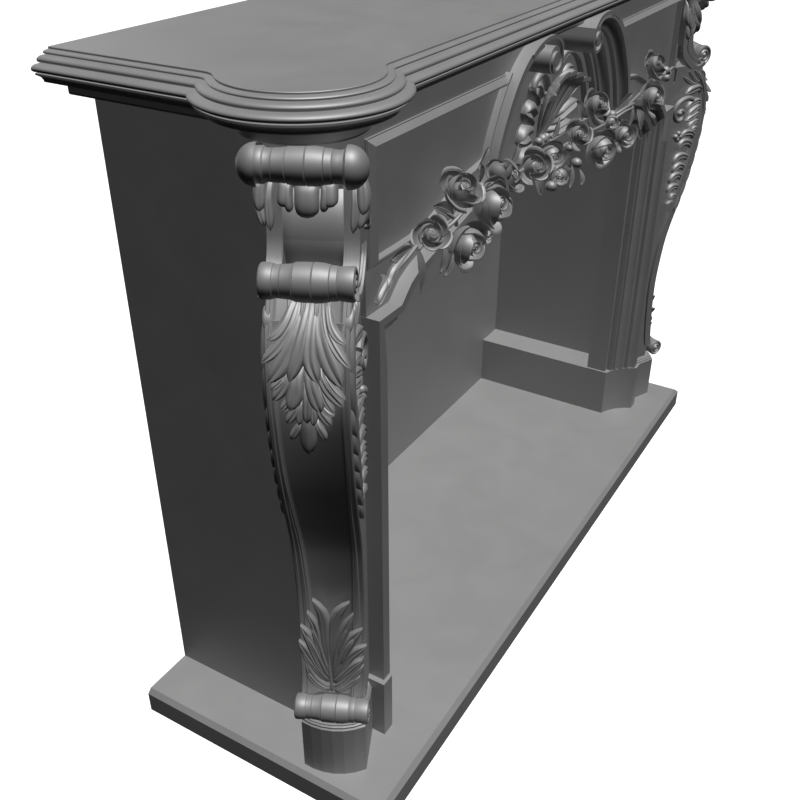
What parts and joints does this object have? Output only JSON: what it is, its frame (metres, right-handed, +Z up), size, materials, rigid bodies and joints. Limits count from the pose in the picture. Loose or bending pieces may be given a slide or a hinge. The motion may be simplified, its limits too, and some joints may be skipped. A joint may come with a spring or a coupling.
{
  "type": "fireplace mantel",
  "caption": "Carved stone fireplace mantel on a hearth slab, with canted console legs, a moulded arched frame, a shell, a rose garland and a moulded shelf.",
  "frame": {"origin": "middle of the underside of the hearth slab, below the middle of the bounding box", "axes": "+Z up, +Y towards the wall behind, -Y towards the room, +X along the shelf to the viewer's right"},
  "size_m": [1.5566, 0.481, 1.123],
  "materials": {
    "stone": "honed"
  },
  "bodies": {
    "root": {"hearth_slab": "stone", "shelf": "stone", "lintel": "stone", "fireback": "stone", "left_side_slab": "stone", "right_side_slab": "stone", "left_hob": "stone", "right_hob": "stone", "left_jamb": "stone", "right_jamb": "stone", "left_foot_block": "stone", "right_foot_block": "stone", "left_frame_base": "stone", "right_frame_base": "stone"}
  },
  "joints": []
}
